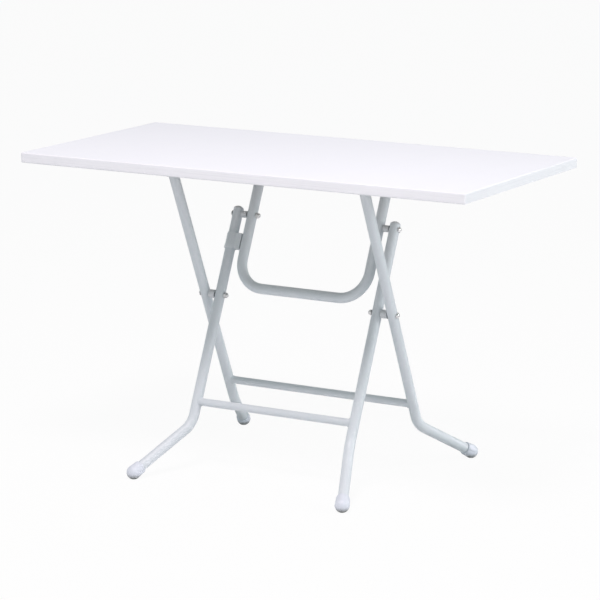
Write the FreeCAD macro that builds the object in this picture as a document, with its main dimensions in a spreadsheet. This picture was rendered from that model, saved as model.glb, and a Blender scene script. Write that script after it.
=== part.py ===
import FreeCAD, Part
import math
import os

import Sketcher
from FreeCAD import Placement, Rotation, Vector

# Folding table: a laminated top on a scissor frame of steel tube. The outer leg frame hinges on
# the top near its front, the inner leg frame crosses it on two bolts, and a U-shaped stay, hinged
# on the top near its back, carries the heads of the inner legs. All axes of the linkage lie
# along X. Millimetres and degrees. Origin on the floor under the middle of the top, +Z up,
# +X along the length of the top, the front of the table towards -Y.

DIMENSIONS = {
    # tabletop
    "top_length": 1200,
    "top_width": 600,
    "top_thickness": 25,
    "top_height": 775,
    "laminate_thickness": 0.8,
    "edge_thickness": 4,
    "edge_rounding": 3,
    "corner_radius": 5,
    # linkage, seen from the side
    "hinge_drop": 20,
    "hinge_spacing": 288,
    "leg_angle": 24.2,
    "stay_arm": 143.08,
    # middle planes of the three pairs of tubes
    "outer_leg_offset": 262,
    "inner_leg_offset": 220,
    "stay_offset": 178,
    # tubes
    "tube_diameter": 25.4,
    "tube_wall": 1.5,
    "tube_beyond_hinge": 8,
    "tube_beyond_stay_bolt": 13,
    "knee_below_pivot": 328,
    "knee_bend": 39.8,
    "knee_turn": 57,
    "knee_radius": 70,
    "stay_below_bolt": 182,
    "stay_radius": 70,
    "crush_sleeve_diameter": 10.5,
    "crush_sleeve_length": 22.9,
    # crossbars
    "bar_diameter": 19,
    "bar_wall": 1.2,
    "outer_bar_below_pivot": 265.3,
    "inner_bar_below_pivot": 271,
    # feet
    "foot_diameter": 35,
    "foot_mouth_diameter": 32,
    "foot_sleeve_length": 24,
    "foot_lip": 2,
    "foot_centre_height": 16,
    # plastic caps in the upper ends of the inner legs
    "cap_depth": 7,
    "cap_height": 7,
    "cap_rim": 1,
    # pivots
    "pivot_diameter": 8,
    "running_clearance": 0.05,
    "side_clearance": 0.3,
    "bolt_head_diameter": 14,
    "bolt_head_height": 4.2,
    "socket_width": 5,
    "socket_depth": 2.4,
    "washer_diameter": 15,
    "washer_thickness": 1.2,
    "nut_width": 12,
    "nut_prism": 4.8,
    "nut_height": 9.6,
    "nut_chamfer": 0.5,
    "nut_thread_depth": 7,
    "scissor_spacer_diameter": 21,
    "stay_spacer_diameter": 17,
    "open_pivot_gap": 0.7,
    # hinge brackets
    "sheet_thickness": 2,
    "bracket_length": 54,
    "bracket_width": 56,
    "bracket_corner": 5,
    "ear_gap": 27,
    "ear_root": 36,
    "ear_radius": 10,
    "rivet_head_diameter": 13,
    "rivet_head_height": 2.5,
    # wood screws that hold the brackets
    "screw_spacing_along": 38,
    "screw_spacing_across": 44,
    "screw_diameter": 4,
    "screw_length": 15,
    "screw_point": 3,
    "screw_head_diameter": 8,
    "screw_head_height": 2.4,
    "screw_slot_width": 1.2,
    "screw_slot_length": 4.6,
    "screw_slot_depth": 1,
    # lock sleeve on the left inner leg
    "sleeve_length": 40,
    "sleeve_wall": 1.4,
    "sleeve_clearance": 0.3,
    "sleeve_below_bolt": 70,
    "sleeve_rim": 1.2,
    "sleeve_rim_height": 9,
    "sleeve_lug_width": 16,
    "sleeve_lug_rounding": 1.5,
}

TOLERANCE = 0.001
LEFT = -1
RIGHT = 1
SIDES = {"left": LEFT, "right": RIGHT}


class Size:
    """A length, angle or ratio: its value, and the spreadsheet expression that gives it."""

    def __init__(self, value, text):
        self.value = float(value)
        self.text = text

    def __add__(self, other):
        other = as_size(other)
        return Size(self.value + other.value, f"({self.text} + {other.text})")

    def __sub__(self, other):
        other = as_size(other)
        return Size(self.value - other.value, f"({self.text} - {other.text})")

    def __mul__(self, other):
        other = as_size(other)
        return Size(self.value * other.value, f"{self.text} * {other.text}")

    def __truediv__(self, other):
        other = as_size(other)
        return Size(self.value / other.value, f"{self.text} / ({other.text})")

    def __neg__(self):
        return Size(-self.value, f"(0 - {self.text})")


def as_size(item):
    return item if isinstance(item, Size) else Size(item, f"({item})")


def sine(angle):
    return Size(math.sin(math.radians(angle.value)), f"sin({angle.text})")


def cosine(angle):
    return Size(math.cos(math.radians(angle.value)), f"cos({angle.text})")


def tangent(angle):
    return Size(math.tan(math.radians(angle.value)), f"tan({angle.text})")


doc = FreeCAD.newDocument("folding_table")


def dimension_sheet():
    sheet = doc.addObject("Spreadsheet::Sheet", "Dimensions")
    for row, (alias, value) in enumerate(DIMENSIONS.items(), start=1):
        sheet.set(f"A{row}", str(value))
        sheet.setAlias(f"A{row}", alias)
    doc.recompute()
    return sheet


sheet = dimension_sheet()


def dim(alias):
    return Size(sheet.get(alias), f"Dimensions.{alias}")


ZERO = Size(0, "0")

# The side view of the linkage. Open, the stay and the inner leg make one straight line from the
# rear hinge to the scissor pivot, as long as the outer leg's arm. With the stay's arm a little
# under half the hinge spacing, the legs fold up until the outer frame is 6 degrees and the inner
# frame 11 degrees off level, where the inner legs pass half a millimetre below the outer crossbar.

underside = dim("top_height") - dim("top_thickness")
hinge_height = underside - dim("hinge_drop")
half_spacing = dim("hinge_spacing") / 2
leg_angle = dim("leg_angle")
outer_arm = half_spacing / sine(leg_angle)
stay_arm = dim("stay_arm")
inner_arm = outer_arm - stay_arm
pivot_height = hinge_height - half_spacing / tangent(leg_angle)

tube_radius = dim("tube_diameter") / 2
bar_radius = dim("bar_diameter") / 2
pivot_radius = dim("pivot_diameter") / 2
bearing_radius = pivot_radius + dim("running_clearance")
washer = dim("washer_thickness")

# The foot runs on from the knee until its centre is at the height of a foot's rounding.

knee_height = pivot_height - dim("knee_below_pivot") * cosine(leg_angle)
bend = dim("knee_bend")
turn = dim("knee_turn")
foot_fall = cosine(bend) * cosine(leg_angle) - sine(bend) * sine(turn) * sine(leg_angle)
foot_length = (knee_height - dim("foot_centre_height")) / foot_fall


# ---- sketches ----------------------------------------------------------------------------

ORIGIN_POINT = (-1, 1)
START, END, CENTRE = 1, 2, 3


def origin_plane(body, role):
    return next(item for item in body.Origin.OriginFeatures if item.Role == role)


def new_body(label):
    body = doc.addObject("PartDesign::Body", label)
    body.Label = label
    return body


def new_sketch(body, role, offset=Placement()):
    sketch = body.newObject("Sketcher::SketchObject", f"{body.Name}_sketch")
    sketch.AttachmentSupport = (origin_plane(body, role), "")
    sketch.MapMode = "FlatFace"
    sketch.AttachmentOffset = offset
    return sketch


def raised(distance):
    """Offset of a sketch along the normal of its plane."""
    return Placement(Vector(0, 0, distance.value), Rotation())


def constrain(sketch, size, kind, *places):
    index = sketch.addConstraint(Sketcher.Constraint(kind, *places, size.value))
    sketch.setExpression(f"Constraints[{index}]", size.text)


def pin_point(sketch, geometry, point, x, y):
    """Fix a point of the sketch at x, y, each measured from the sketch's origin."""
    for kind, size in (("DistanceX", x), ("DistanceY", y)):
        if size.value >= 0:
            constrain(sketch, size, kind, *ORIGIN_POINT, geometry, point)
        else:
            constrain(sketch, -size, kind, geometry, point, *ORIGIN_POINT)


def add_circle(sketch, radius, x=ZERO, y=ZERO):
    centre = Vector(x.value, y.value, 0)
    circle = sketch.addGeometry(Part.Circle(centre, Vector(0, 0, 1), radius.value))
    constrain(sketch, radius, "Radius", circle)
    pin_point(sketch, circle, CENTRE, x, y)


def add_line(sketch, start, end):
    ends = [Vector(x.value, y.value, 0) for x, y in (start, end)]
    return sketch.addGeometry(Part.LineSegment(*ends))


def add_outline(sketch, corners, arcs=None):
    """Closed outline through corners, each an (x, y) pair. A side in arcs, numbered by the corner
    that it starts from, is an arc: arcs gives its centre and radius."""
    arcs = arcs or {}
    sides = []
    for index, corner in enumerate(corners):
        following = corners[(index + 1) % len(corners)]
        if index in arcs:
            sides.append(add_arc(sketch, arcs[index][0], corner, following))
        else:
            sides.append((add_line(sketch, corner, following), START, END))
    for index, (side, first, last) in enumerate(sides):
        next_side, next_first, _ = sides[(index + 1) % len(sides)]
        sketch.addConstraint(Sketcher.Constraint("Coincident", side, last, next_side, next_first))
        pin_point(sketch, side, first, *corners[index])
        if index in arcs:
            constrain(sketch, arcs[index][1], "Radius", side)


def add_arc(sketch, centre, start, end):
    """Arc of at most half a turn about centre: its number, and which of its ends are at start
    and at end."""
    middle, first, last = (Vector(x.value, y.value, 0) for x, y in (centre, start, end))
    spokes = [first - middle, last - middle]
    clockwise = spokes[0].cross(spokes[1]).z < 0
    if clockwise:
        spokes.reverse()
    angles = [math.atan2(spoke.y, spoke.x) for spoke in spokes]
    if angles[1] < angles[0]:
        angles[1] += 2 * math.pi
    circle = Part.Circle(middle, Vector(0, 0, 1), spokes[0].Length)
    arc = sketch.addGeometry(Part.ArcOfCircle(circle, *angles))
    return (arc, END, START) if clockwise else (arc, START, END)


def add_rectangle(sketch, width, height, x=ZERO, y=ZERO):
    left, right = x - width / 2, x + width / 2
    low, high = y - height / 2, y + height / 2
    add_outline(sketch, [(left, low), (right, low), (right, high), (left, high)])


def add_rounded_rectangle(sketch, width, height, radius):
    """Rectangle about the sketch's origin with rounded corners."""
    right, high = width / 2, height / 2
    inner_right, inner_high = right - radius, high - radius
    corners = [
        (right, -inner_high), (right, inner_high), (inner_right, high), (-inner_right, high),
        (-right, inner_high), (-right, -inner_high), (-inner_right, -high), (inner_right, -high),
    ]
    centres = [
        (inner_right, inner_high), (-inner_right, inner_high),
        (-inner_right, -inner_high), (inner_right, -inner_high),
    ]
    arcs = {1 + 2 * index: (centre, radius) for index, centre in enumerate(centres)}
    add_outline(sketch, corners, arcs)


def add_bend(sketch, centre, start, end, before, after):
    """Arc about centre that runs smoothly from the line before into the line after."""
    arc, first, last = add_arc(sketch, centre, start, end)
    pin_point(sketch, arc, CENTRE, *centre)
    sketch.addConstraint(Sketcher.Constraint("Coincident", before, END, arc, first))
    sketch.addConstraint(Sketcher.Constraint("Tangent", arc, last, after, START))


# ---- features ----------------------------------------------------------------------------


def pad(body, sketch, length, midplane=False, reverse=False):
    feature = body.newObject("PartDesign::Pad", f"{body.Name}_pad")
    feature.Profile = sketch
    feature.setExpression("Length", length.text)
    feature.SideType = "Symmetric" if midplane else "One side"
    feature.Reversed = reverse
    return feature


def pocket(body, sketch, length=None, midplane=False, reverse=False):
    feature = body.newObject("PartDesign::Pocket", f"{body.Name}_pocket")
    feature.Profile = sketch
    if length is None:
        feature.Type = "ThroughAll"
    else:
        feature.setExpression("Length", length.text)
    feature.SideType = "Symmetric" if midplane else "One side"
    feature.Reversed = reverse
    return feature


def revolve(body, sketch, axis="V_Axis"):
    feature = body.newObject("PartDesign::Revolution", f"{body.Name}_revolution")
    feature.Profile = sketch
    feature.ReferenceAxis = (sketch, [axis])
    feature.Angle = 360
    return feature


def sweep(body, profile, path):
    feature = body.newObject("PartDesign::AdditivePipe", f"{body.Name}_pipe")
    feature.Profile = profile
    feature.Spine = (path, [f"Edge{index + 1}" for index in range(path.GeometryCount)])
    return feature


def fillet(body, feature, radius, chosen):
    """Round the edges of a feature that chosen picks."""
    edges = [f"Edge{index}" for index, edge in enumerate(feature.Shape.Edges, 1) if chosen(edge)]
    rounding = body.newObject("PartDesign::Fillet", f"{body.Name}_fillet")
    rounding.Base = (feature, edges)
    rounding.setExpression("Radius", radius.text)
    return rounding


def disc(body, role, radius, length, x=ZERO, y=ZERO, offset=Placement(), midplane=False):
    """Solid cylinder, padded from a circle on a plane of the body."""
    sketch = new_sketch(body, role, offset)
    add_circle(sketch, radius, x, y)
    return pad(body, sketch, length, midplane)


def bore(body, role, radius, x=ZERO, y=ZERO):
    """Round hole right through the body, along the normal of one of its planes."""
    sketch = new_sketch(body, role)
    add_circle(sketch, radius, x, y)
    return pocket(body, sketch, midplane=True)


def turned(body, corners, arcs=None):
    """Solid of revolution about the body's Z axis, from an outline of (radius, height) pairs."""
    sketch = new_sketch(body, "XZ_Plane")
    add_outline(sketch, corners, arcs)
    return revolve(body, sketch)


def dome(radius, height, base=ZERO):
    """Centre and radius of the arc from (radius, base) up to (0, base + height)."""
    arc_radius = (radius * radius + height * height) / (height * 2)
    return (ZERO, base + height - arc_radius), arc_radius


def group(label, unit, places):
    """One sub-part of several equal solids: a copy of the unit at each place."""
    copies = []
    for place in places:
        copy = doc.addObject("App::Link", f"{label}_copy")
        copy.LinkedObject = unit
        copy.LinkPlacement = place
        copies.append(copy)
    compound = doc.addObject("Part::Compound", label)
    compound.Label = label
    compound.Links = copies
    return compound


# ---- places ------------------------------------------------------------------------------

X_AXIS = Vector(1, 0, 0)
Z_AXIS = Vector(0, 0, 1)
outer_offset = dim("outer_leg_offset")
inner_offset = dim("inner_leg_offset")
stay_offset = dim("stay_offset")

# Frame of each leg frame and of the stay: Z runs up along the tubes, and Y is square to them.
# In a leg frame Y points to the side that its feet and its crossbar are on.

outer_frame = Placement(Vector(0, 0, pivot_height.value), Rotation(X_AXIS, leg_angle.value))
inner_lean = Rotation(X_AXIS, -leg_angle.value)
inner_frame = Placement(
    Vector(0, 0, pivot_height.value), inner_lean * Rotation(Z_AXIS, 180)
)
stay_frame = Placement(Vector(0, half_spacing.value, hinge_height.value), inner_lean)


def shift(x, y, z):
    """Plain move by three sizes."""
    return Placement(Vector(x.value, y.value, z.value), Rotation())


def outward(side, offset, point):
    """At an offset from the middle plane, level with a point, with Z pointing outwards in X."""
    position = Vector(side * offset.value, point.y, point.z)
    return Placement(position, Rotation(Z_AXIS, Vector(side, 0, 0)))


def on_both_sides(offset, point):
    return [outward(side, offset, point) for side in SIDES.values()]


scissor_point = outer_frame.Base
stay_point = stay_frame.multVec(Vector(0, 0, -stay_arm.value))
front_hinge = Vector(0, -half_spacing.value, hinge_height.value)
rear_hinge = Vector(0, half_spacing.value, hinge_height.value)


# ---- tabletop ----------------------------------------------------------------------------

inside_length = dim("top_length") - dim("edge_thickness") * 2
inside_width = dim("top_width") - dim("edge_thickness") * 2
inside_radius = dim("corner_radius") - dim("edge_thickness")
laminate = dim("laminate_thickness")
screw_radius = dim("screw_diameter") / 2


def bracket_screw_points():
    """X and Y of every bracket screw: four about each hinge."""
    points = []
    for offset, hinge_y in ((outer_offset, -half_spacing), (stay_offset, half_spacing)):
        for side in SIDES.values():
            for across in (-1, 1):
                for along in (-1, 1):
                    x = offset * side + dim("screw_spacing_across") * (0.5 * across)
                    y = hinge_y + dim("screw_spacing_along") * (0.5 * along)
                    points.append((x, y))
    return points


def add_screw_holes(sketch):
    for x, y in bracket_screw_points():
        add_circle(sketch, screw_radius, x, y)


def top_sheet(label, thickness, base, drilled):
    """Board or laminate inside the edge band, with pilot holes for the screws if drilled."""
    body = new_body(label)
    outline = new_sketch(body, "XY_Plane")
    add_rounded_rectangle(outline, inside_length, inside_width, inside_radius)
    if drilled:
        add_screw_holes(outline)
    pad(body, outline, thickness)
    body.Placement = shift(ZERO, ZERO, base)
    return body


def tabletop_core():
    body = top_sheet(
        "tabletop_core", dim("top_thickness") - laminate * 2, underside + laminate, False
    )
    holes = new_sketch(body, "XY_Plane")
    add_screw_holes(holes)
    depth = dim("screw_length") - dim("sheet_thickness") - laminate
    pocket(body, holes, depth, reverse=True)
    return body


def edge_band():
    body = new_body("edge_band")
    outline = new_sketch(body, "XY_Plane")
    add_rounded_rectangle(outline, dim("top_length"), dim("top_width"), dim("corner_radius"))
    block = pad(body, outline, dim("top_thickness"))
    doc.recompute()
    fillet(body, block, dim("edge_rounding"), lambda edge: edge.BoundBox.ZLength < TOLERANCE)
    inside = new_sketch(body, "XY_Plane")
    add_rounded_rectangle(inside, inside_length, inside_width, inside_radius)
    pocket(body, inside, midplane=True)
    body.Placement = shift(ZERO, ZERO, underside)
    return body


def hinge_bracket(label, x, hinge):
    """Plate under the top with two ears, which hold a tube between them on a rivet."""
    body = new_body(label)
    plate = new_sketch(body, "XY_Plane", raised(dim("hinge_drop") - dim("sheet_thickness")))
    add_rounded_rectangle(
        plate, dim("bracket_width"), dim("bracket_length"), dim("bracket_corner")
    )
    for across in (-0.5, 0.5):
        for along in (-0.5, 0.5):
            add_circle(
                plate, screw_radius,
                dim("screw_spacing_across") * across, dim("screw_spacing_along") * along,
            )
    pad(body, plate, dim("sheet_thickness"))
    root = dim("ear_root") / 2
    radius = dim("ear_radius")
    top = dim("hinge_drop") - dim("sheet_thickness") / 2
    for face in (dim("ear_gap") / 2, -dim("ear_gap") / 2 - dim("sheet_thickness")):
        ear = new_sketch(body, "YZ_Plane", raised(face))
        quarter = ((ZERO, ZERO), radius)
        add_outline(
            ear, [(-root, top), (-radius, ZERO), (ZERO, -radius), (radius, ZERO), (root, top)],
            {1: quarter, 2: quarter},
        )
        add_circle(ear, pivot_radius)
        pad(body, ear, dim("sheet_thickness"))
    body.Placement = Placement(Vector(x, hinge.y, hinge.z), Rotation())
    return body


def hinge_brackets():
    brackets = []
    for name, side in SIDES.items():
        brackets.append(
            hinge_bracket(f"leg_hinge_bracket_{name}", side * outer_offset.value, front_hinge)
        )
        brackets.append(
            hinge_bracket(f"stay_hinge_bracket_{name}", side * stay_offset.value, rear_hinge)
        )
    return brackets


def hinge_rivets():
    unit = new_body("hinge_rivet")
    half = dim("ear_gap") / 2 + dim("sheet_thickness")
    head = dim("rivet_head_diameter") / 2
    height = dim("rivet_head_height")
    upper_centre, crown = dome(head, height, half)
    lower_centre = (ZERO, -upper_centre[1])
    turned(
        unit,
        [(ZERO, -half - height), (head, -half), (pivot_radius, -half), (pivot_radius, half),
         (head, half), (ZERO, half + height)],
        {0: (lower_centre, crown), 4: (upper_centre, crown)},
    )
    places = on_both_sides(outer_offset, front_hinge) + on_both_sides(stay_offset, rear_hinge)
    return group("hinge_rivets", unit, places)


def bracket_screws():
    unit = new_body("bracket_screw")
    head = dim("screw_head_diameter") / 2
    height = dim("screw_head_height")
    length = dim("screw_length")
    centre, crown = dome(head, height)
    lower_centre = (ZERO, -centre[1])
    turned(
        unit,
        [(ZERO, -height), (head, ZERO), (screw_radius, ZERO),
         (screw_radius, length - dim("screw_point")), (ZERO, length)],
        {0: (lower_centre, crown)},
    )
    width, slot = dim("screw_slot_width"), dim("screw_slot_length")
    for size in ((width, slot), (slot, width)):
        cross = new_sketch(unit, "XY_Plane", raised(-height))
        add_rectangle(cross, *size)
        pocket(unit, cross, dim("screw_slot_depth"), reverse=True)
    plate = underside - dim("sheet_thickness")
    return group("bracket_screws", unit, [shift(x, y, plate) for x, y in bracket_screw_points()])


# ---- leg frames --------------------------------------------------------------------------


def add_tube_section(sketch, x=ZERO):
    add_circle(sketch, tube_radius, x)
    add_circle(sketch, tube_radius - dim("tube_wall"), x)


def crush_sleeve(body, height, x=ZERO):
    """Short pipe across a tube, which carries the load of a pivot from wall to wall."""
    half = dim("crush_sleeve_length") / 2
    disc(
        body, "YZ_Plane", dim("crush_sleeve_diameter") / 2, half * 2, ZERO, height,
        raised(x - half),
    )


def leg(label, place, turn_angle, top, bores):
    """Leg tube with its Z axis up the straight part and its origin at the scissor pivot. Below
    the knee it runs out at the knee's bend, towards turn_angle about Z. bores gives the height
    and the radius of each pivot hole."""
    body = new_body(label)
    section = new_sketch(body, "XY_Plane", raised(top))
    add_tube_section(section)
    path = new_sketch(body, "XZ_Plane", Placement(Vector(), Rotation(Vector(0, 1, 0), turn_angle)))
    knee = -dim("knee_below_pivot")
    radius = dim("knee_radius")
    setback = radius * tangent(bend / 2)
    bend_start = (ZERO, knee + setback)
    bend_end = (sine(bend) * setback, knee - cosine(bend) * setback)
    foot = (sine(bend) * foot_length, knee - cosine(bend) * foot_length)
    shank = add_line(path, (ZERO, top), bend_start)
    pin_point(path, shank, START, ZERO, top)
    pin_point(path, shank, END, *bend_start)
    shin = add_line(path, bend_end, foot)
    pin_point(path, shin, END, *foot)
    add_bend(path, (radius, knee + setback), bend_start, bend_end, shank, shin)
    sweep(body, section, path)
    for height, _ in bores:
        crush_sleeve(body, height)
    for height, hole_radius in bores:
        bore(body, "YZ_Plane", hole_radius, ZERO, height)
    body.Placement = place
    return body


def foot_cap(label, place, turn_angle):
    """Moulded cap on the end of a leg, about the end's centre, with Z up the tube and a flat
    sole on the floor."""
    body = new_body(label)
    radius = dim("foot_diameter") / 2
    mouth = dim("foot_mouth_diameter") / 2
    sleeve = dim("foot_sleeve_length")
    lip = dim("foot_lip")
    turned(
        body,
        [(ZERO, -radius), (radius, ZERO), (mouth, sleeve - lip), (mouth - lip, sleeve),
         (tube_radius, sleeve), (tube_radius, ZERO), (ZERO, ZERO)],
        {0: ((ZERO, ZERO), radius), 2: ((mouth - lip, sleeve - lip), lip)},
    )
    splay = math.radians(turn_angle)
    across = Vector(math.cos(splay), math.sin(splay), 0)
    shin = across * sine(bend).value - Z_AXIS * cosine(bend).value
    centre = shin * foot_length.value - Z_AXIS * DIMENSIONS["knee_below_pivot"]
    body.Placement = place * Placement(centre, Rotation(Z_AXIS, -shin))
    floor = Placement(Vector(body.Placement.Base.x, body.Placement.Base.y, 0), Rotation())
    sole = new_sketch(body, "XY_Plane", body.Placement.inverse() * floor)
    add_circle(sole, radius)
    pocket(body, sole, radius)
    return body


def leg_frame_side(frame_name, side_name, frame, turned_round, offset, top, bores):
    """A leg and its foot. The foot splays outwards, so its turn is mirrored on one side."""
    side = SIDES[side_name] * (-1 if turned_round else 1)
    place = frame * Placement(Vector(side * offset.value, 0, 0), Rotation())
    turn_angle = turn.value if side == RIGHT else 180 - turn.value
    return [
        leg(f"{frame_name}_leg_{side_name}", place, turn_angle, top, bores),
        foot_cap(f"{frame_name}_foot_{side_name}", place, turn_angle),
    ]


def crossbar(label, frame, offset, below):
    """Bar welded between two legs, at a distance below their scissor pivot. Its ends are cut
    hollow to fit the round of the tubes."""
    body = new_body(label)
    disc(body, "YZ_Plane", bar_radius, offset * 2, midplane=True)
    bore(body, "YZ_Plane", bar_radius - dim("bar_wall"))
    for side in SIDES.values():
        bore(body, "XY_Plane", tube_radius, offset * side)
    body.Placement = frame * shift(ZERO, ZERO, -below)
    return body


def inner_leg_caps():
    """Domed plastic caps that close the upper ends of the inner legs."""
    unit = new_body("inner_leg_cap")
    stem = tube_radius - dim("tube_wall")
    depth, rim, height = dim("cap_depth"), dim("cap_rim"), dim("cap_height")
    turned(
        unit,
        [(ZERO, -depth), (stem, -depth), (stem, ZERO), (tube_radius, ZERO), (tube_radius, rim),
         (ZERO, height)],
        {4: dome(tube_radius, height - rim, rim)},
    )
    top = inner_arm + dim("tube_beyond_stay_bolt")
    places = [inner_frame * shift(inner_offset * side, ZERO, top) for side in SIDES.values()]
    return group("inner_leg_caps", unit, places)


# ---- bolts of the scissor and the stay -----------------------------------------------------


def bolt(label, length):
    """Domed bolt with a socket: the head stands on Z = 0 and the shank runs down from it."""
    body = new_body(label)
    head = dim("bolt_head_diameter") / 2
    height = dim("bolt_head_height")
    turned(
        body,
        [(ZERO, -length), (pivot_radius, -length), (pivot_radius, ZERO), (head, ZERO),
         (ZERO, height)],
        {3: dome(head, height)},
    )
    socket = new_sketch(body, "XY_Plane", raised(height))
    add_hexagon(socket, dim("socket_width"))
    pocket(body, socket, dim("socket_depth"))
    return body


def add_hexagon(sketch, width):
    """Hexagon about the sketch's origin, width across its flats."""
    point = width / 2 / cosine(as_size(30))
    side = point / 2
    flat = width / 2
    add_outline(
        sketch,
        [(point, ZERO), (side, flat), (-side, flat), (-point, ZERO), (-side, -flat), (side, -flat)],
    )


def cap_nut(label):
    """Hexagonal nut with a closed dome. It stands on Z = 0, with its dome up."""
    body = new_body(label)
    prism = new_sketch(body, "XY_Plane")
    add_hexagon(prism, dim("nut_width"))
    pad(body, prism, dim("nut_prism"))
    radius = dim("nut_width") / 2 - dim("nut_chamfer")
    height = dim("nut_height")
    shoulder = height - radius
    turned(
        body,
        [(ZERO, ZERO), (radius, ZERO), (radius, shoulder), (ZERO, height)],
        {2: ((ZERO, shoulder), radius)},
    )
    thread = new_sketch(body, "XY_Plane")
    add_circle(thread, pivot_radius)
    pocket(body, thread, dim("nut_thread_depth"), reverse=True)
    return body


def ring(label, outer_radius, inner_radius, length):
    """Washer or spacer: it stands on Z = 0."""
    body = new_body(label)
    section = new_sketch(body, "XY_Plane")
    add_circle(section, outer_radius)
    add_circle(section, inner_radius)
    pad(body, section, length)
    return body


def inward(places):
    """The same places with Z pointing to the middle plane."""
    return [place * Placement(Vector(), Rotation(X_AXIS, 180)) for place in places]


def scissor_fasteners(washer_unit, nut_unit):
    """Bolts through both leg frames. They are tight in the outer legs and run in the inner."""
    head = outer_offset + tube_radius + washer
    inner_face = inner_offset - tube_radius - dim("side_clearance")
    spacer_face = inner_offset + tube_radius + dim("side_clearance")
    nut_face = inner_face - washer
    bolt_unit = bolt("scissor_bolt", head - nut_face + dim("nut_thread_depth"))
    spacer_unit = ring(
        "scissor_spacer", dim("scissor_spacer_diameter") / 2, pivot_radius,
        outer_offset - tube_radius - spacer_face,
    )
    washer_places = on_both_sides(head - washer, scissor_point)
    washer_places += on_both_sides(nut_face, scissor_point)
    return [
        group("scissor_bolts", bolt_unit, on_both_sides(head, scissor_point)),
        group("scissor_spacers", spacer_unit, on_both_sides(spacer_face, scissor_point)),
        group("scissor_washers", washer_unit, washer_places),
        group("scissor_nuts", nut_unit, inward(on_both_sides(nut_face, scissor_point))),
    ]


def stay_fasteners(washer_unit, nut_unit):
    """Bolts through the heads of the inner legs, and the studs and nuts on the stay. The bolts
    end a little short of the stay, and the studs carry their line on."""
    head = inner_offset + tube_radius + washer
    bolt_end = stay_offset + tube_radius + dim("open_pivot_gap")
    nut_face = stay_offset - tube_radius - washer
    stud_end = nut_face - dim("nut_thread_depth")
    bolt_unit = bolt("stay_bolt", head - bolt_end)
    spacer_unit = ring(
        "stay_spacer", dim("stay_spacer_diameter") / 2, pivot_radius,
        inner_offset - tube_radius - bolt_end,
    )
    stud_unit = new_body("stay_stud")
    disc(stud_unit, "XY_Plane", pivot_radius, stay_offset + tube_radius - stud_end)
    return [
        group("stay_bolts", bolt_unit, on_both_sides(head, stay_point)),
        group("stay_spacers", spacer_unit, on_both_sides(bolt_end, stay_point)),
        group("stay_bolt_washers", washer_unit, on_both_sides(head - washer, stay_point)),
        group("stay_studs", stud_unit, on_both_sides(stud_end, stay_point)),
        group("stay_nut_washers", washer_unit, on_both_sides(nut_face, stay_point)),
        group("stay_nuts", nut_unit, inward(on_both_sides(nut_face, stay_point))),
    ]


# ---- stay and lock -------------------------------------------------------------------------


def stay_tube():
    """U of tube with its Z axis up its arms, between which its origin is, at the rear hinge."""
    body = new_body("stay_tube")
    top = dim("tube_beyond_hinge")
    low = -stay_arm - dim("stay_below_bolt")
    radius = dim("stay_radius")
    bend_height = low + radius
    bend_side = stay_offset - radius
    section = new_sketch(body, "XY_Plane", raised(top))
    add_tube_section(section, -stay_offset)
    path = new_sketch(body, "XZ_Plane")
    left_arm = add_line(path, (-stay_offset, top), (-stay_offset, bend_height))
    pin_point(path, left_arm, START, -stay_offset, top)
    pin_point(path, left_arm, END, -stay_offset, bend_height)
    base = add_line(path, (-bend_side, low), (bend_side, low))
    pin_point(path, base, END, bend_side, low)
    add_bend(
        path, (-bend_side, bend_height), (-stay_offset, bend_height), (-bend_side, low),
        left_arm, base,
    )
    right_arm = add_line(path, (stay_offset, bend_height), (stay_offset, top))
    pin_point(path, right_arm, END, stay_offset, top)
    add_bend(
        path, (bend_side, bend_height), (bend_side, low), (stay_offset, bend_height),
        base, right_arm,
    )
    sweep(body, section, path)
    for side in SIDES.values():
        crush_sleeve(body, ZERO, stay_offset * side)
    bore(body, "YZ_Plane", bearing_radius)
    bore(body, "YZ_Plane", pivot_radius, ZERO, -stay_arm)
    body.Placement = stay_frame
    return body


def lock_sleeve():
    """Sleeve that slides on the left inner leg. Its lug lies against the stay's arm."""
    body = new_body("lock_sleeve")
    hole = tube_radius + dim("sleeve_clearance")
    radius = hole + dim("sleeve_wall")
    length = dim("sleeve_length")
    bottom = -length / 2
    disc(body, "XY_Plane", radius, length, offset=raised(bottom))
    disc(
        body, "XY_Plane", radius + dim("sleeve_rim"), dim("sleeve_rim_height"),
        offset=raised(bottom),
    )
    reach = inner_offset - stay_offset - tube_radius - dim("open_pivot_gap")
    lug = new_sketch(body, "XY_Plane", raised(bottom))
    add_rectangle(lug, reach, dim("sleeve_lug_width"), reach / 2)
    block = pad(body, lug, length)
    doc.recompute()
    lug_end = reach.value - TOLERANCE
    fillet(
        body, block, dim("sleeve_lug_rounding"), lambda edge: edge.BoundBox.XMin > lug_end
    )
    bore(body, "XY_Plane", hole)
    height = inner_arm - dim("sleeve_below_bolt")
    leg_place = Placement(scissor_point, inner_lean) * shift(-inner_offset, ZERO, height)
    body.Placement = leg_place
    return body


# ---- the whole table -----------------------------------------------------------------------


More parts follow.
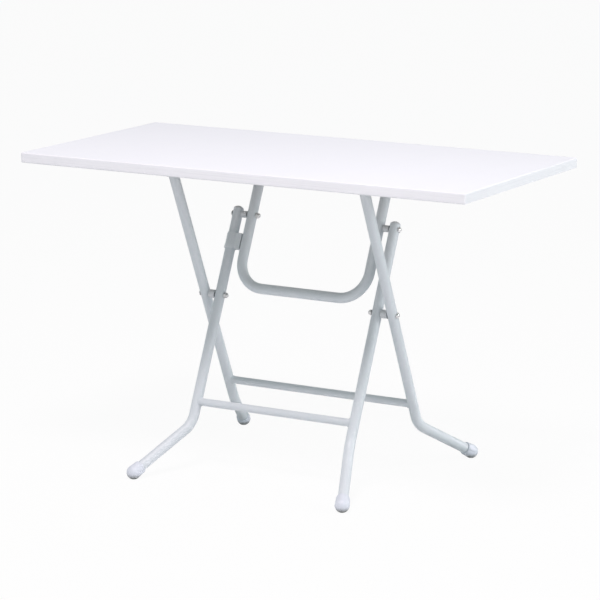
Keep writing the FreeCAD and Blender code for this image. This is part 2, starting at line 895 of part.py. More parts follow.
def build_table():
    parts = [
        tabletop_core(),
        top_sheet("top_laminate", laminate, dim("top_height") - laminate, False),
        top_sheet("under_laminate", laminate, underside, True),
        edge_band(),
        *hinge_brackets(),
        hinge_rivets(),
        bracket_screws(),
    ]
    outer_top = outer_arm + dim("tube_beyond_hinge")
    outer_bores = [(ZERO, pivot_radius), (outer_arm, bearing_radius)]
    inner_top = inner_arm + dim("tube_beyond_stay_bolt")
    inner_bores = [(ZERO, bearing_radius), (inner_arm, pivot_radius)]
    for side_name in SIDES:
        parts += leg_frame_side(
            "outer", side_name, outer_frame, False, outer_offset, outer_top, outer_bores
        )
        parts += leg_frame_side(
            "inner", side_name, inner_frame, True, inner_offset, inner_top, inner_bores
        )
    for name, frame, offset in (
        ("outer", outer_frame, outer_offset), ("inner", inner_frame, inner_offset),
    ):
        below = dim(f"{name}_bar_below_pivot")
        parts.append(crossbar(f"{name}_crossbar", frame, offset, below))
    washer_unit = ring("washer", dim("washer_diameter") / 2, pivot_radius, washer)
    nut_unit = cap_nut("cap_nut")
    parts.append(inner_leg_caps())
    parts += scissor_fasteners(washer_unit, nut_unit)
    parts += stay_fasteners(washer_unit, nut_unit)
    parts.append(stay_tube())
    parts.append(lock_sleeve())
    return parts


def check(parts):
    """Stop if an object of the document failed, or a sub-part has no sound shape."""
    for item in doc.Objects:
        if "Invalid" in item.State or "Error" in item.State:
            raise RuntimeError(f"{item.Label}: {item.State}")
    for part in parts:
        if part.Shape.isNull() or not part.Shape.isValid():
            raise RuntimeError(f"{part.Label}: no valid shape")


def export(parts):
    os.makedirs("parts", exist_ok=True)
    for part in parts:
        part.Shape.exportStep(f"parts/{part.Label}.step")


table_parts = build_table()
doc.recompute()
check(table_parts)
export(table_parts)
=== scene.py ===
import math

import bmesh
import bpy
from mathutils import Matrix, Vector


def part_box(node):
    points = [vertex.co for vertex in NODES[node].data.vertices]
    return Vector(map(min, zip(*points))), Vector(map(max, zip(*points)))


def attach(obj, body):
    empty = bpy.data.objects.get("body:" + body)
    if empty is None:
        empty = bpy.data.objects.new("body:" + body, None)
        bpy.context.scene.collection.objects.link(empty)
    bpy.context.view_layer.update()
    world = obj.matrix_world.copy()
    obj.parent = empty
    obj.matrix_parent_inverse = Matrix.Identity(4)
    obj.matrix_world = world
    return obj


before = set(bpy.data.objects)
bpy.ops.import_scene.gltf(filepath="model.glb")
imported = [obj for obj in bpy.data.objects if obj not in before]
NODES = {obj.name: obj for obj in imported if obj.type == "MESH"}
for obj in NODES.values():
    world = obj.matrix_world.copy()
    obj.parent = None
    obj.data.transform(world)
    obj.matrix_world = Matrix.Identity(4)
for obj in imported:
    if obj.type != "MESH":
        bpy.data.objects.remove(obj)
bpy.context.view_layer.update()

# Looks of a folding table: white laminated top, grey powder-coated scissor legs, moulded feet.
# Metres. Origin on the floor under the middle of the top, +Z up, the front towards -Y.

MILLIMETRE = 0.001
FULL_TURN = 2 * math.pi
scene = bpy.context.scene


# ---- shader helpers ------------------------------------------------------------------------

# the mix node has a set of sockets for each kind of value: these are the ones for colours
MIX_COLOUR_INPUTS = (0, 6, 7)
MIX_COLOUR_OUTPUT = 2


def scaled(colour, factors):
    """A colour with each channel multiplied by its own factor."""
    return tuple(channel * factor for channel, factor in zip(colour, factors))


class Shader:
    """A material with one Principled shader, and short ways to add texture nodes to it."""

    def __init__(self, name, colour, roughness, metallic=0.0, specular=0.5):
        self.material = bpy.data.materials.new(name)
        self.material.use_nodes = True
        self.tree = self.material.node_tree
        self.surface = self.tree.nodes["Principled BSDF"]
        self.surface.inputs["Base Color"].default_value = (*colour, 1)
        self.surface.inputs["Roughness"].default_value = roughness
        self.surface.inputs["Metallic"].default_value = metallic
        self.surface.inputs["Specular IOR Level"].default_value = specular
        self.place = self.add("ShaderNodeTexCoord").outputs["Object"]
        self.bump = None

    def add(self, kind, **settings):
        node = self.tree.nodes.new(kind)
        for key, value in settings.items():
            setattr(node, key, value)
        return node

    def link(self, source, target):
        self.tree.links.new(source, target)

    def stretched(self, x, y, z):
        """Object coordinates, scaled along each axis."""
        mapping = self.add("ShaderNodeMapping")
        mapping.inputs["Scale"].default_value = (x, y, z)
        self.link(self.place, mapping.inputs["Vector"])
        return mapping.outputs["Vector"]

    def noise(self, scale, detail, roughness=0.5, place=None, distortion=0.0):
        node = self.add("ShaderNodeTexNoise")
        node.inputs["Scale"].default_value = scale
        node.inputs["Detail"].default_value = detail
        node.inputs["Roughness"].default_value = roughness
        node.inputs["Distortion"].default_value = distortion
        self.link(place or self.place, node.inputs["Vector"])
        return node.outputs["Fac"]

    def grey_cells(self, scale, place=None):
        """Cells that each have a grey of their own."""
        cells = self.add("ShaderNodeTexVoronoi")
        cells.inputs["Scale"].default_value = scale
        self.link(place or self.place, cells.inputs["Vector"])
        grey = self.add("ShaderNodeRGBToBW")
        self.link(cells.outputs["Color"], grey.inputs["Color"])
        return grey.outputs["Val"]

    def height(self):
        """Height above the floor at rest, in metres."""
        split = self.add("ShaderNodeSeparateXYZ")
        self.link(self.place, split.inputs["Vector"])
        return split.outputs["Z"]

    def math(self, operation, first, second):
        node = self.add("ShaderNodeMath", operation=operation)
        for socket, item in zip(node.inputs, (first, second)):
            if isinstance(item, (int, float)):
                socket.default_value = item
            else:
                self.link(item, socket)
        return node.outputs["Value"]

    def span(self, value, start, end, to_start=0.0, to_end=1.0):
        """value from start to end becomes to_start to to_end, eased, and no further."""
        node = self.add("ShaderNodeMapRange", interpolation_type="SMOOTHSTEP")
        self.link(value, node.inputs["Value"])
        for name, number in (
            ("From Min", start), ("From Max", end), ("To Min", to_start), ("To Max", to_end)
        ):
            node.inputs[name].default_value = number
        return node.outputs["Result"]

    def tint(self, amount, colour, below=None):
        """Lays colour over what is below, or over the plain colour, by amount."""
        node = self.add("ShaderNodeMix", data_type="RGBA")
        factor, first, second = (node.inputs[index] for index in MIX_COLOUR_INPUTS)
        self.link(amount, factor)
        if below is None:
            first.default_value = self.surface.inputs["Base Color"].default_value
        else:
            self.link(below, first)
        second.default_value = (*colour, 1)
        return node.outputs[MIX_COLOUR_OUTPUT]

    def relief(self, height, depth, strength):
        """Adds bumps of that depth in metres."""
        node = self.add("ShaderNodeBump")
        node.inputs["Distance"].default_value = depth
        node.inputs["Strength"].default_value = strength
        self.link(height, node.inputs["Height"])
        if self.bump is not None:
            self.link(self.bump, node.inputs["Normal"])
        self.bump = node.outputs["Normal"]

    def done(self, colour, roughness=None):
        for name, source in (
            ("Base Color", colour), ("Roughness", roughness), ("Normal", self.bump)
        ):
            if source is not None:
                self.link(source, self.surface.inputs[name])
        return self.material


# ---- materials -----------------------------------------------------------------------------

# In each of these, a noise is picked out between two of its levels, start and end, and then
# laid on as a colour, as bumps or as a change of roughness. Scales are cycles in a metre.

TUBE_COLOUR = (0.60, 0.65, 0.685)


def laminate_material():
    shader = Shader("white_laminate", (0.765, 0.795, 0.83), roughness=0.5, specular=0.3)
    clouds = shader.noise(scale=3.0, detail=3.0)
    flecks = shader.noise(scale=420.0, detail=2.0)
    cloudy = shader.span(clouds, start=0.35, end=0.65, to_end=0.6)
    flecked = shader.span(flecks, start=0.52, end=0.75, to_end=0.4)
    colour = shader.tint(cloudy, (0.775, 0.805, 0.84))
    colour = shader.tint(flecked, (0.735, 0.765, 0.80), colour)
    lengthwise = shader.stretched(1.0, 0.35, 1.0)
    wiped = shader.noise(scale=9.0, detail=4.0, roughness=0.6, place=lengthwise)
    shader.relief(shader.noise(scale=900.0, detail=3.0), depth=0.00005, strength=0.5)
    shader.relief(shader.noise(scale=260.0, detail=1.0), depth=0.00006, strength=0.35)
    return shader.done(colour, shader.span(wiped, start=0.3, end=0.7, to_start=0.48, to_end=0.58))


def edge_material():
    shader = Shader("edge_moulding", (0.80, 0.82, 0.85), roughness=0.40)
    clouds = shader.noise(scale=5.0, detail=3.0)
    cloudy = shader.span(clouds, start=0.35, end=0.65, to_end=0.6)
    colour = shader.tint(cloudy, (0.78, 0.80, 0.83))
    round_the_rim = shader.stretched(4.0, 4.0, 520.0)
    drawn = shader.noise(scale=1.0, detail=3.0, roughness=0.6, place=round_the_rim)
    streaked = shader.span(drawn, start=0.48, end=0.70, to_end=0.7)
    colour = shader.tint(streaked, (0.72, 0.735, 0.775), colour)
    shader.relief(drawn, depth=0.00012, strength=0.5)
    shader.relief(shader.noise(scale=700.0, detail=2.0), depth=0.00004, strength=0.5)
    return shader.done(colour, shader.span(drawn, start=0.3, end=0.7, to_start=0.34, to_end=0.48))


def backing_material():
    shader = Shader("backing_sheet", (0.45, 0.43, 0.40), roughness=0.6)
    clouds = shader.noise(scale=4.0, detail=4.0)
    lengthwise = shader.stretched(1.0, 6.0, 1.0)
    fibres = shader.noise(scale=60.0, detail=3.0, roughness=0.6, place=lengthwise)
    cloudy = shader.span(clouds, start=0.35, end=0.65, to_end=0.7)
    fibrous = shader.span(fibres, start=0.55, end=0.75, to_end=0.4)
    colour = shader.tint(cloudy, (0.41, 0.395, 0.37))
    colour = shader.tint(fibrous, (0.36, 0.345, 0.32), colour)
    shader.relief(fibres, depth=0.00008, strength=0.5)
    shader.relief(shader.noise(scale=500.0, detail=2.0), depth=0.00006, strength=0.6)
    return shader.done(colour, shader.span(clouds, start=0.3, end=0.7, to_start=0.52, to_end=0.66))


def board_material():
    shader = Shader("particle_board", (0.55, 0.40, 0.25), roughness=0.85)
    flakes = shader.grey_cells(scale=280.0, place=shader.stretched(1.0, 1.0, 2.5))
    dust = shader.noise(scale=900.0, detail=3.0)
    colour = shader.tint(shader.span(flakes, start=0.2, end=0.8), (0.74, 0.58, 0.40))
    dusty = shader.span(dust, start=0.5, end=0.7, to_end=0.6)
    colour = shader.tint(dusty, (0.38, 0.26, 0.15), colour)
    shader.relief(flakes, depth=0.0003, strength=0.6)
    shader.relief(dust, depth=0.0001, strength=0.5)
    return shader.done(colour)


def paint_material():
    shader = Shader("grey_powder_coat", TUBE_COLOUR, roughness=0.46)
    cloud_colour = scaled(TUBE_COLOUR, (0.94, 0.955, 0.95))
    mottle_colour = scaled(TUBE_COLOUR, (1.08, 1.07, 1.06))
    scuff_colour = scaled(TUBE_COLOUR, (0.78, 0.79, 0.79))
    clouds = shader.noise(scale=7.0, detail=3.0)
    mottle = shader.noise(scale=130.0, detail=2.0)
    upright = shader.stretched(1.0, 1.0, 0.25)
    scuffs = shader.noise(scale=38.0, detail=6.0, roughness=0.7, place=upright, distortion=0.6)
    colour = shader.tint(shader.span(clouds, start=0.35, end=0.65, to_end=0.8), cloud_colour)
    mottled = shader.span(mottle, start=0.55, end=0.75, to_end=0.5)
    colour = shader.tint(mottled, mottle_colour, colour)
    scuffed = shader.span(scuffs, start=0.66, end=0.74, to_end=0.5)
    colour = shader.tint(scuffed, scuff_colour, colour)
    shader.relief(shader.noise(scale=420.0, detail=1.0), depth=0.00004, strength=0.3)
    return shader.done(colour, shader.span(mottle, start=0.3, end=0.7, to_start=0.45, to_end=0.48))


def steel_material(name, colour, dull, roughness):
    """Zinc plating: fine crystals, drawing lines, and white bloom in places."""
    shader = Shader(name, colour, roughness, metallic=1.0)
    bloom_colour = (0.52, 0.53, 0.52)
    crystals = shader.grey_cells(scale=700.0)
    bloom = shader.noise(scale=90.0, detail=4.0, roughness=0.6)
    across = shader.stretched(1.0, 9.0, 1.0)
    drawn = shader.noise(scale=260.0, detail=3.0, roughness=0.6, place=across)
    crystalline = shader.span(crystals, start=0.1, end=0.9, to_end=0.5)
    bloomed = shader.span(bloom, start=0.5, end=0.7, to_end=0.5)
    tint = shader.tint(crystalline, dull)
    tint = shader.tint(bloomed, bloom_colour, tint)
    shader.relief(drawn, depth=0.00006, strength=0.5)
    smoothest, roughest = roughness - 0.06, roughness + 0.14
    return shader.done(tint, shader.span(bloom, 0.35, 0.7, smoothest, roughest))


def moulded_material(name, colour, roughness, painted_shade_height=None):
    """Moulded plastic with an eroded grain. If a height is given last, the bottom is darkened up
    to it with painted shade, standing in for the contact shadow at the floor.
    """
    shader = Shader(name, colour, roughness)
    shader.surface.inputs["Subsurface Weight"].default_value = 0.04
    shader.surface.inputs["Subsurface Radius"].default_value = (0.003, 0.003, 0.003)
    shade = scaled(colour, (0.92, 0.93, 0.93))
    flow = shader.noise(scale=28.0, detail=3.0, roughness=0.55, distortion=0.8)
    grain = shader.noise(scale=1100.0, detail=2.0)
    tint = shader.tint(shader.span(flow, start=0.35, end=0.7, to_end=0.7), shade)
    tint = shader.tint(shader.span(grain, start=0.55, end=0.75, to_end=0.25), shade, tint)
    # painted shade: the bottom is darkened towards the floor, with a ragged edge, standing in for
    # the contact shadow there
    if painted_shade_height is not None:
        painted_shade_colour = (0.20, 0.215, 0.21)
        patches = shader.noise(scale=160.0, detail=4.0, roughness=0.65)
        ragged = shader.math("MULTIPLY", patches, painted_shade_height * 0.5)
        level = shader.math("SUBTRACT", shader.height(), ragged)
        painted_shade = shader.span(
            level, start=-painted_shade_height * 0.1, end=painted_shade_height * 0.85, to_start=0.95, to_end=0.0
        )
        tint = shader.tint(painted_shade, painted_shade_colour, tint)
    shader.relief(grain, depth=0.00003, strength=0.3)
    shader.relief(flow, depth=0.0003, strength=0.25)
    smoothest, roughest = roughness - 0.02, roughness + 0.03
    return shader.done(tint, shader.span(flow, 0.3, 0.7, smoothest, roughest))


def set_material(material, *names):
    for name in names:
        mesh = NODES[name].data
        mesh.materials.clear()
        mesh.materials.append(material)


paint = paint_material()
plate = steel_material(
    "plated_sheet", (0.66, 0.67, 0.67), dull=(0.58, 0.60, 0.60), roughness=0.36
)
bright = steel_material(
    "plated_fastener", (0.74, 0.75, 0.75), dull=(0.64, 0.66, 0.66), roughness=0.28
)
# the feet carry painted shade 14 mm up from the floor, standing in for the contact shadow
foot = moulded_material("foot_plastic", (0.63, 0.675, 0.74), roughness=0.50, painted_shade_height=0.014)
cap = moulded_material("cap_plastic", (0.55, 0.58, 0.60), roughness=0.45)
spacer = moulded_material("spacer_plastic", (0.58, 0.61, 0.63), roughness=0.45)
lock = moulded_material("lock_plastic", (0.65, 0.70, 0.73), roughness=0.42)

set_material(laminate_material(), "top_laminate")
set_material(edge_material(), "edge_band")
set_material(backing_material(), "under_laminate")
set_material(board_material(), "tabletop_core")
set_material(
    plate, "leg_hinge_bracket_left", "leg_hinge_bracket_right", "stay_hinge_bracket_left",
    "stay_hinge_bracket_right",
)
set_material(
    bright, "hinge_rivets", "bracket_screws", "scissor_bolts", "scissor_washers",
    "scissor_nuts", "stay_bolts", "stay_bolt_washers", "stay_studs", "stay_nut_washers",
    "stay_nuts",
)
set_material(
    paint, "outer_leg_left", "outer_leg_right", "outer_crossbar", "inner_leg_left",
    "inner_leg_right", "inner_crossbar", "stay_tube",
)
set_material(
    foot, "outer_foot_left", "outer_foot_right", "inner_foot_left", "inner_foot_right"
)
set_material(cap, "inner_leg_caps")
set_material(spacer, "scissor_spacers", "stay_spacers")
set_material(lock, "lock_sleeve")


# ---- mesh pieces ---------------------------------------------------------------------------

X_AXIS, Y_AXIS, Z_AXIS = Vector((1, 0, 0)), Vector((0, 1, 0)), Vector((0, 0, 1))
LEFT, RIGHT = -1, 1
SIDES = {"left": LEFT, "right": RIGHT}
FRONT, REAR = -1, 1

LEG_LEAN = math.radians(24.2)
# name of a leg frame: how it leans about X, and the side that its feet are on
LEG_FRAMES = {"outer": (LEG_LEAN, REAR), "inner": (-LEG_LEAN, FRONT)}

TUBE_RADIUS = 12.7 * MILLIMETRE
BAR_RADIUS = 9.5 * MILLIMETRE


def new_piece(name, vertices, faces, material, body):
    """A smooth mesh that rides on a body of the table."""
    mesh = bpy.data.meshes.new(name)
    mesh.from_pydata(vertices, [], faces)
    mesh.validate()
    mesh.polygons.foreach_set("use_smooth", [True] * len(mesh.polygons))
    mesh.materials.append(material)
    shape = bmesh.new()
    shape.from_mesh(mesh)
    bmesh.ops.recalc_face_normals(shape, faces=shape.faces)
    shape.to_mesh(mesh)
    shape.free()
    piece = bpy.data.objects.new(name, mesh)
    scene.collection.objects.link(piece)
    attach(piece, body)


def rope(path, radii, sides, closed):
    """Vertices and faces of a round rope along a path of points, of the radius given at each."""
    count = len(path)
    vertices, faces = [], []
    for index, point in enumerate(path):
        if closed:
            ahead = path[(index + 1) % count] - path[index - 1]
        else:
            ahead = path[min(index + 1, count - 1)] - path[max(index - 1, 0)]
        ahead.normalize()
        nearly_along_x = abs(ahead.x) >= 0.9
        across = ahead.cross(Y_AXIS if nearly_along_x else X_AXIS).normalized()
        up = ahead.cross(across)
        for step in range(sides):
            angle = FULL_TURN * step / sides
            spoke = across * math.cos(angle) + up * math.sin(angle)
            vertices.append(point + spoke * radii[index])
    for index in range(count if closed else count - 1):
        here, there = index * sides, (index + 1) % count * sides
        for step in range(sides):
            following = (step + 1) % sides
            faces.append((here + step, here + following, there + following, there + step))
    if not closed:
        faces.append(tuple(range(sides)))
        faces.append(tuple(range(len(vertices) - sides, len(vertices))))
    return vertices, faces


def node_middle(name):
    low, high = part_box(name)
    return (Vector(low) + Vector(high)) / 2


def node_end(name, axis, side):
    """How far a node reaches along an axis, to the side given by -1 or 1."""
    low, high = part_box(name)
    return high[axis] if side > 0 else low[axis]


BEAD_STEPS, BEAD_SIDES = 168, 12
BEAD_RADIUS = 1.7 * MILLIMETRE
BEAD_LIFT = 0.15 * MILLIMETRE
BEAD_PROUD = 0.4 * MILLIMETRE
BEAD_RIPPLES = 26
BEAD_RIPPLE_DEPTH = 0.2 * MILLIMETRE
BEAD_SWAY, BEAD_WOBBLE = 0.25 * MILLIMETRE, 0.15 * MILLIMETRE
BEAD_RIPPLE_SWELL, BEAD_SLOW_SWELL = 0.11, 0.10


def weld_bead(frame_name, side_name):
    """Rippled fillet of weld round the end of a crossbar, where it meets a leg."""
    bar, side = f"{frame_name}_crossbar", SIDES[side_name]
    lean, _ = LEG_FRAMES[frame_name]
    middle = node_middle(bar)
    leg_x = node_end(bar, 0, side) + side * math.sqrt(TUBE_RADIUS ** 2 - BAR_RADIUS ** 2)
    along = Vector((0, -math.sin(lean), math.cos(lean)))
    square = Vector((0, math.cos(lean), math.sin(lean)))
    path, radii = [], []
    for step in range(BEAD_STEPS):
        turn = FULL_TURN * step / BEAD_STEPS
        out = square * math.cos(turn) + along * math.sin(turn)
        reach = math.sqrt(TUBE_RADIUS ** 2 - (BAR_RADIUS * math.cos(turn)) ** 2)
        ripple = math.sin(turn * BEAD_RIPPLES)
        wander = BEAD_SWAY * math.sin(3 * turn + side) + BEAD_WOBBLE * math.sin(7 * turn)
        x = leg_x - side * (reach + BEAD_PROUD + BEAD_RIPPLE_DEPTH * ripple + wander)
        path.append(Vector((x, middle.y, middle.z)) + out * (BAR_RADIUS + BEAD_LIFT))
        swell = BEAD_RIPPLE_SWELL * ripple + BEAD_SLOW_SWELL * math.sin(2 * turn + 1)
        radii.append(BEAD_RADIUS * (1 + swell))
    vertices, faces = rope(path, radii, BEAD_SIDES, closed=True)
    new_piece(
        f"{frame_name}_weld_{side_name}", vertices, faces, paint, f"{frame_name}_frame",
    )


FOOT_RADIUS = 17.5 * MILLIMETRE
FOOT_MOUTH_RADIUS = 16.0 * MILLIMETRE
FOOT_MOUTH_HEIGHT = 22.0 * MILLIMETRE
FOOT_CENTRE_HEIGHT = 16.0 * MILLIMETRE
KNEE_BEND, KNEE_TURN = math.radians(39.8), math.radians(57)
TRIM_SIDES = 10
SEAM_STEPS = 48
SEAM_RADIUS = 0.35 * MILLIMETRE
COLLAR_STEPS = 96
COLLAR_RADIUS = 0.45 * MILLIMETRE
COLLAR_HEIGHT = FOOT_MOUTH_HEIGHT - 2.5 * MILLIMETRE
COLLAR_SCALLOPS, COLLAR_SCALLOP_DEPTH = 24, 0.012


def foot_axis(frame_name, side):
    """Direction from a foot up its leg."""
    lean, facing = LEG_FRAMES[frame_name]
    down = Vector((
        side * math.cos(KNEE_TURN) * math.sin(KNEE_BEND),
        facing * math.sin(KNEE_TURN) * math.sin(KNEE_BEND),
        -math.cos(KNEE_BEND),
    ))
    down.rotate(Matrix.Rotation(lean, 3, "X"))
    return -down


def foot_mouldings(frame_name, side_name):
    """Collar round the mouth of a foot cap, and the line that its mould's halves left on it."""
    cap_name, side = f"{frame_name}_foot_{side_name}", SIDES[side_name]
    _, facing = LEG_FRAMES[frame_name]
    centre = Vector((
        node_end(cap_name, 0, side) - side * FOOT_RADIUS,
        node_end(cap_name, 1, facing) - facing * FOOT_RADIUS,
        FOOT_CENTRE_HEIGHT,
    ))
    up = foot_axis(frame_name, side)
    level = up.cross(Z_AXIS).normalized()
    third = up.cross(level)
    seam = [centre + level * FOOT_MOUTH_RADIUS + up * FOOT_MOUTH_HEIGHT]
    for step in range(SEAM_STEPS + 1):
        turn = math.pi * step / SEAM_STEPS
        seam.append(centre + (level * math.cos(turn) - up * math.sin(turn)) * FOOT_RADIUS)
    seam.append(centre - level * FOOT_MOUTH_RADIUS + up * FOOT_MOUTH_HEIGHT)
    collar = []
    for step in range(COLLAR_STEPS):
        turn = FULL_TURN * step / COLLAR_STEPS
        spoke = level * math.cos(turn) + third * math.sin(turn)
        scallop = 1 + COLLAR_SCALLOP_DEPTH * math.cos(COLLAR_SCALLOPS * turn)
        collar.append(centre + up * COLLAR_HEIGHT + spoke * FOOT_MOUTH_RADIUS * scallop)
    for kind, path, radius, closed in (
        ("seam", seam, SEAM_RADIUS, False), ("collar", collar, COLLAR_RADIUS, True),
    ):
        vertices, faces = rope(path, [radius] * len(path), TRIM_SIDES, closed)
        new_piece(
            f"{frame_name}_foot_{kind}_{side_name}", vertices, faces, foot,
            f"{frame_name}_frame",
        )


SLEEVE_RADIUS = 14.4 * MILLIMETRE
SLEEVE_RIM_RADIUS = 15.6 * MILLIMETRE
RIB_COUNT = 7
RIB_PITCH = 4.0 * MILLIMETRE
TOP_RIB_HEIGHT = 16.0 * MILLIMETRE
RIB_RADIUS = 0.6 * MILLIMETRE
RIB_STEPS = 60
RIB_GAP = math.radians(38)
RIB_END_SIZE, RIB_END_TAPER = 0.2, 9


def grip_ribs():
    """Ribs round the lock sleeve, open where its lug is, and tapered to their ends."""
    middle = node_middle("lock_sleeve")
    middle.x = node_end("lock_sleeve", 0, LEFT) + SLEEVE_RIM_RADIUS
    up = Vector((0, math.sin(LEG_LEAN), math.cos(LEG_LEAN)))
    back = Vector((0, math.cos(LEG_LEAN), -math.sin(LEG_LEAN)))
    vertices, faces = [], []
    for rib in range(RIB_COUNT):
        height = TOP_RIB_HEIGHT - rib * RIB_PITCH
        path, radii = [], []
        for step in range(RIB_STEPS + 1):
            share = step / RIB_STEPS
            turn = RIB_GAP + (FULL_TURN - 2 * RIB_GAP) * share
            spoke = X_AXIS * math.cos(turn) + back * math.sin(turn)
            path.append(middle + up * height + spoke * SLEEVE_RADIUS)
            taper = RIB_END_SIZE + RIB_END_TAPER * min(share, 1 - share)
            radii.append(RIB_RADIUS * min(1.0, taper))
        rib_vertices, rib_faces = rope(path, radii, TRIM_SIDES, closed=False)
        first = len(vertices)
        vertices += rib_vertices
        faces += [tuple(first + index for index in face) for face in rib_faces]
    new_piece("lock_grip_ribs", vertices, faces, lock, "lock")


for frame_name in LEG_FRAMES:
    for side_name in SIDES:
        weld_bead(frame_name, side_name)
        foot_mouldings(frame_name, side_name)
grip_ribs()


# ---- floor and backdrop --------------------------------------------------------------------

STUDIO_HALF = 30.0
BACKDROP_LEAN = 1.3
BACKDROP_HEIGHT = 40.0
STUDIO_GREY, STUDIO_GLOW = 0.04, 0.943
BOUNCE_HALF = 12.0
BOUNCE_HEIGHT = -1.0 * MILLIMETRE
BOUNCE_WHITE = 0.86


def stage_sheet(name, vertices, faces, grey, glow):
    """Matt grey sheet, of the stage and not of the table, that may glow."""
    mesh = bpy.data.meshes.new(name)
    mesh.from_pydata(vertices, [], faces)
    sheet = bpy.data.objects.new(name, mesh)
    scene.collection.objects.link(sheet)
    material = bpy.data.materials.new(name)
    material.use_nodes = True
    surface = material.node_tree.nodes["Principled BSDF"]
    surface.inputs["Base Color"].default_value = (grey, grey, grey, 1)
    surface.inputs["Roughness"].default_value = 1.0
    surface.inputs["Specular IOR Level"].default_value = 0.0
    surface.inputs["Emission Color"].default_value = (1, 1, 1, 1)
    surface.inputs["Emission Strength"].default_value = glow
    material.cycles.emission_sampling = "NONE"
    mesh.materials.append(material)
    return sheet


def square(half, height):
    return [(x * half, y * half, height) for x, y in ((-1, -1), (1, -1), (1, 1), (-1, 1))]


def make_seen_floor():
    """The floor and backdrop that are seen. They glow, throw no light on the table and show
    next to no shadow."""
    low = square(STUDIO_HALF, 0.0)
    high = square(STUDIO_HALF * BACKDROP_LEAN, BACKDROP_HEIGHT)
    faces = [(0, 1, 2, 3)]
    for corner in range(4):
        following = (corner + 1) % 4
        faces.append((corner, 4 + corner, 4 + following, following))
    floor = stage_sheet("floor", low + high, faces, STUDIO_GREY, STUDIO_GLOW)
    floor.visible_diffuse = False
    floor.visible_glossy = False
    floor.visible_shadow = False


def make_bounce_floor():
    """White floor just under the one that is seen. It isn't seen itself: it takes the table's
    shadow, and throws the light up at it."""
    floor = stage_sheet(
        "bounce_floor", square(BOUNCE_HALF, BOUNCE_HEIGHT), [(0, 1, 2, 3)], BOUNCE_WHITE, 0.0
    )
    floor.visible_camera = False


# ---- light ---------------------------------------------------------------------------------

SKY_STOPS = (
    # part of the way from straight down to straight up, and the brightness there
    (0.00, 0.86),
    (0.46, 0.88),
    (0.54, 0.92),
    (0.80, 0.46),
    (1.00, 0.30),
)
SKY_COLOUR = (0.928, 0.983, 1.0)
UNLIT_SIDE = (0.489, -0.847, 0.207)
UNLIT_SHADE = 0.80
# how nearly a direction points to the unlit side, where the shade starts and where it is full
UNLIT_SPAN = (0.35, 1.0)


def make_world():
    """A studio of soft light from all round, less from the side that the table is seen from."""
    world = bpy.data.worlds.new("studio")
    world.use_nodes = True
    tree = world.node_tree
    sky = tree.nodes["Background"]
    direction = tree.nodes.new("ShaderNodeTexCoord").outputs["Generated"]
    brightest = max(level for _, level in SKY_STOPS)

    split = tree.nodes.new("ShaderNodeSeparateXYZ")
    tree.links.new(direction, split.inputs["Vector"])
    height = tree.nodes.new("ShaderNodeMapRange")
    height.inputs["From Min"].default_value = -1.0
    tree.links.new(split.outputs["Z"], height.inputs["Value"])
    ramp = tree.nodes.new("ShaderNodeValToRGB")
    tree.links.new(height.outputs["Result"], ramp.inputs["Fac"])
    stops = ramp.color_ramp.elements
    while len(stops) < len(SKY_STOPS):
        stops.new(0.5)
    for stop, (place, level) in zip(stops, SKY_STOPS):
        stop.position = place
        stop.color = (*scaled(SKY_COLOUR, [level / brightest] * 3), 1)
    tree.links.new(ramp.outputs["Color"], sky.inputs["Color"])

    towards = tree.nodes.new("ShaderNodeVectorMath")
    towards.operation = "DOT_PRODUCT"
    tree.links.new(direction, towards.inputs[0])
    towards.inputs[1].default_value = UNLIT_SIDE
    shade = tree.nodes.new("ShaderNodeMapRange")
    shade.interpolation_type = "SMOOTHSTEP"
    tree.links.new(towards.outputs["Value"], shade.inputs["Value"])
    shade.inputs["From Min"].default_value = UNLIT_SPAN[0]
    shade.inputs["From Max"].default_value = UNLIT_SPAN[1]
    shade.inputs["To Min"].default_value = brightest
    shade.inputs["To Max"].default_value = brightest * UNLIT_SHADE
    tree.links.new(shade.outputs["Result"], sky.inputs["Strength"])
    scene.world = world


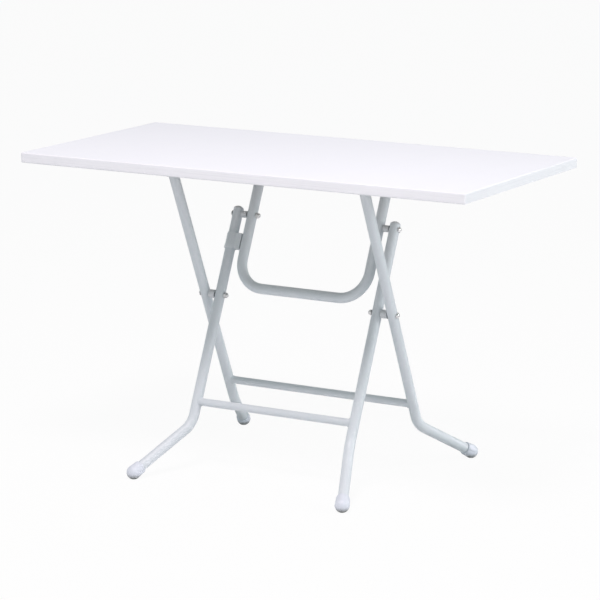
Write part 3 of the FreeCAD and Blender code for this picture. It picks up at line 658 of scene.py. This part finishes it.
def softbox(name, place, aim, size, power, spread=180, colour=(1, 1, 1)):
    """Round soft light. Its power is in watts and its spread in degrees."""
    data = bpy.data.lights.new(name, "AREA")
    data.shape = "DISK"
    data.size = size
    data.energy = power
    data.color = colour
    data.spread = math.radians(spread)
    lamp = bpy.data.objects.new(name, data)
    lamp.location = place
    lamp.rotation_euler = (Vector(aim) - Vector(place)).to_track_quat("-Z", "Y").to_euler()
    lamp.visible_camera = False
    scene.collection.objects.link(lamp)


def make_lights():
    table_middle = (0.0, 0.0, 0.4)
    rear_right_foot = (0.27, 0.36, 0.05)
    softbox(
        "front_softbox", (0.45, -1.9, 4.6), table_middle, size=1.4, power=166.0,
        colour=(1.0, 0.885, 0.91),
    )
    softbox("right_softbox", (3.2, 0.4, 1.3), table_middle, size=1.0, power=29.0)
    softbox(
        "foot_softbox", (1.4, 1.1, 0.72), rear_right_foot, size=0.4, power=0.5, spread=36,
        colour=(1.0, 0.92, 0.94),
    )


# ---- camera --------------------------------------------------------------------------------

CAMERA_AZIMUTH = math.radians(29.934)
CAMERA_ELEVATION = math.radians(11.828)
CAMERA_DISTANCE = 6.6589
CAMERA_TARGET = Vector((0.00731, 0.0, 0.41964))
CAMERA_SENSOR_WIDTH = 36.0
CAMERA_LENS = 164.56
CAMERA_FARTHEST = 200.0


def make_camera():
    back = Vector((
        math.sin(CAMERA_AZIMUTH) * math.cos(CAMERA_ELEVATION),
        -math.cos(CAMERA_AZIMUTH) * math.cos(CAMERA_ELEVATION),
        math.sin(CAMERA_ELEVATION),
    ))
    data = bpy.data.cameras.new("camera")
    data.sensor_width = CAMERA_SENSOR_WIDTH
    data.lens = CAMERA_LENS
    data.clip_end = CAMERA_FARTHEST
    camera = bpy.data.objects.new("camera", data)
    camera.location = CAMERA_TARGET + back * CAMERA_DISTANCE
    camera.rotation_euler = (-back).to_track_quat("-Z", "Y").to_euler()
    scene.collection.objects.link(camera)
    scene.camera = camera


scene.view_settings.view_transform = "Standard"
make_seen_floor()
make_bounce_floor()
make_world()
make_lights()
make_camera()
